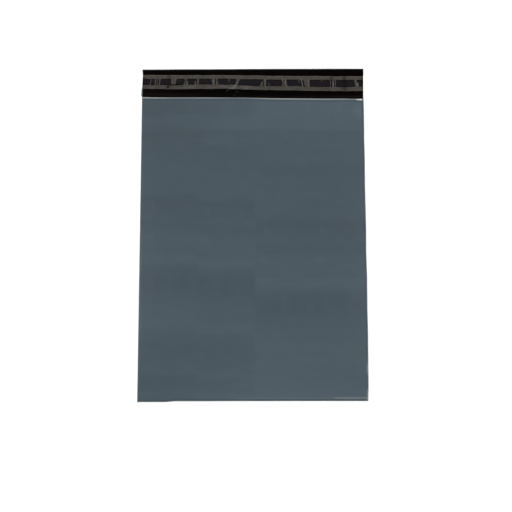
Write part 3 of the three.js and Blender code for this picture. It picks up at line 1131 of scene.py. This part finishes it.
def make_adhesive(material):
    x, across = np.meshgrid(spaced(-STRIP_END, STRIP_END, BAND_STEP), spaced(-1, 1, BAND_ROW))
    across = across * band_half(x)
    y = band_middle(x) + across
    film_top = lip_lift(x, y) + FILM
    land = smoothstep(land_depth(x, across), *LAND_SHOULDER)
    top = np.stack([x, y, film_top + BAND_BASE + LAND_HEIGHT * land], axis=-1)
    low = np.stack([x, y, film_top + ADHESIVE_GAP], axis=-1)
    return shell("adhesive_band", settled(top), settled(low), {}, [material])


def liner_height(x, y, across, depth):
    """The liner's underside: flat on the lands, a little up over the channels, loose at its edges."""
    half = band_half(x)
    beside = np.abs(across)
    over_band = smoothstep(beside, half + LINER_SLOPE, half)
    loose = LOOSE_LIFT * (1 + wander(x, seed=103, pitch=19))
    loose = loose * smoothstep(beside, half + LOOSE_FROM, half + LOOSE_FULL)
    channel = CHANNEL_LIFT * smoothstep(depth, 0, -CHANNEL_SLOPE) * over_band
    return lip_lift(x, y) + FILM + (BAND_BASE + LAND_HEIGHT) * over_band + loose + channel + LINER_GAP


def liner_marks(x, across, depth):
    """Where the liner is wet, and where it is paler or darker than that."""
    uneven = WET_SWAY_ALONG * wander(x, seed=104, pitch=7)
    uneven = uneven + WET_SWAY_ASLANT * wander(across * 3 + x, seed=105, pitch=11)
    wet = smoothstep(depth + uneven, -WET_EDGE, WET_EDGE)
    return {
        "wet": wet,
        "rim": wet * smoothstep(depth + uneven, *RIM_DEPTHS),
        "slit": strokes(x, across, LIGHT_STROKES),
        "stain_and_shade": strokes(x, across, DARK_STROKES),
    }


def make_liner(material):
    rows = np.linspace(0, 1, LINER_ROWS + 1)
    x, share = np.meshgrid(spaced(-STRIP_END, STRIP_END, LINER_STEP), rows)
    top_edge = mouth_y(x) + along_list(x, LINER_TOP) + LINER_SWAY * wander(x, seed=101, pitch=30)
    low_edge = mouth_y(x) + along_list(x, LINER_LOW) + LINER_SWAY * wander(x, seed=102, pitch=27)
    y = low_edge + (top_edge - low_edge) * share
    across = y - band_middle(x)
    depth = land_depth(x, across)
    low = settled(np.stack([x, y, liner_height(x, y, across, depth)], axis=-1))
    top = low + np.array([0, 0, LINER_FILM])
    return shell("release_liner_film", top, low, liner_marks(x, across, depth), [material])


# The set


def make_floor():
    bpy.ops.mesh.primitive_plane_add(size=FLOOR_SIZE, location=(0, 0, -FLOOR_DROP))
    floor = bpy.context.object
    floor.name = "floor"
    material, tree, shader = new_material("floor_paint")
    shader.inputs["Base Color"].default_value = FLOOR_PAINT
    shader.inputs["Roughness"].default_value = 1.0
    shader.inputs["Specular IOR Level"].default_value = 0.0
    shader.inputs["Emission Color"].default_value = WHITE
    path = tree.nodes.new("ShaderNodeLightPath")
    seen = arithmetic(tree, "MAXIMUM", path.outputs["Is Camera Ray"], path.outputs["Is Glossy Ray"])
    seen = arithmetic(tree, "MAXIMUM", seen, path.outputs["Is Transmission Ray"])
    where = tree.nodes.new("ShaderNodeTexCoord")
    glow = spread(tree, length(tree, where.outputs["Object"]), GLOW_PLACES, GLOW_STRENGTHS)
    tree.links.new(arithmetic(tree, "MULTIPLY", seen, glow), shader.inputs["Emission Strength"])
    floor.data.materials.append(material)


def make_sky():
    """A white horizon that darkens overhead, as in a studio with low soft boxes all round."""
    world = bpy.data.worlds.new("studio")
    bpy.context.scene.world = world
    world.use_nodes = True
    tree = world.node_tree
    background = next(node for node in tree.nodes if node.type == "BACKGROUND")
    where = tree.nodes.new("ShaderNodeTexCoord")
    split = tree.nodes.new("ShaderNodeSeparateXYZ")
    tree.links.new(where.outputs["Generated"], split.inputs["Vector"])
    rises = [math.sin(math.radians(angle)) for angle in (SKY_WHITE_BELOW, SKY_DARK_ABOVE)]
    light = spread(tree, split.outputs["Z"], rises, (1.0, SKY_OVERHEAD))
    light.node.interpolation_type = "SMOOTHSTEP"
    background.inputs["Color"].default_value = WHITE
    tree.links.new(light, background.inputs["Strength"])


def soft_box(azimuth, power):
    """A square soft box that looks at the bag from a direction round it, 0 being beyond the lip."""
    turn, rise = math.radians(azimuth), math.radians(SOFT_BOX_RISE)
    way = Vector((math.cos(rise) * math.sin(turn), math.cos(rise) * math.cos(turn), math.sin(rise)))
    light = bpy.data.lights.new(f"soft_box_{azimuth}", "AREA")
    light.shape = "SQUARE"
    light.size = SOFT_BOX_SIDE
    light.energy = power
    lamp = bpy.data.objects.new(f"soft_box_{azimuth}", light)
    lamp.location = way * SOFT_BOX_AWAY
    lamp.rotation_euler = way.to_track_quat("Z", "Y").to_euler()
    lamp.visible_camera = False
    bpy.context.scene.collection.objects.link(lamp)


def make_camera():
    data = bpy.data.cameras.new("camera")
    data.lens = CAMERA_LENS
    data.sensor_width = CAMERA_SENSOR
    camera = bpy.data.objects.new("camera", data)
    bpy.context.scene.collection.objects.link(camera)
    place = Matrix.Translation(Vector(CAMERA_PLACE))
    for axis, turn in CAMERA_TURNS.items():
        place = place @ Matrix.Rotation(math.radians(turn), 4, axis)
    camera.matrix_world = place
    bpy.context.scene.camera = camera


make_camera()
make_floor()
make_sky()
for azimuth, power in SOFT_BOXES:
    soft_box(azimuth, power)

inside = film_inside()
bead = molten_bead()
web = make_film_web([film_outside(), inside, cut_edge()])
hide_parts("film_bag")
film_pieces = [web]
for side in (LEFT, RIGHT):
    film_pieces.append(make_weld(side, bead))
    film_pieces.append(make_hem(side, inside))
band = make_adhesive(hot_melt())
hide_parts("adhesive_strip")
liner = make_liner(release_film())
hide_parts("release_liner")

for piece in film_pieces + [band, liner]:
    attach(piece, BODY)

bpy.context.scene.view_settings.view_transform = "Standard"
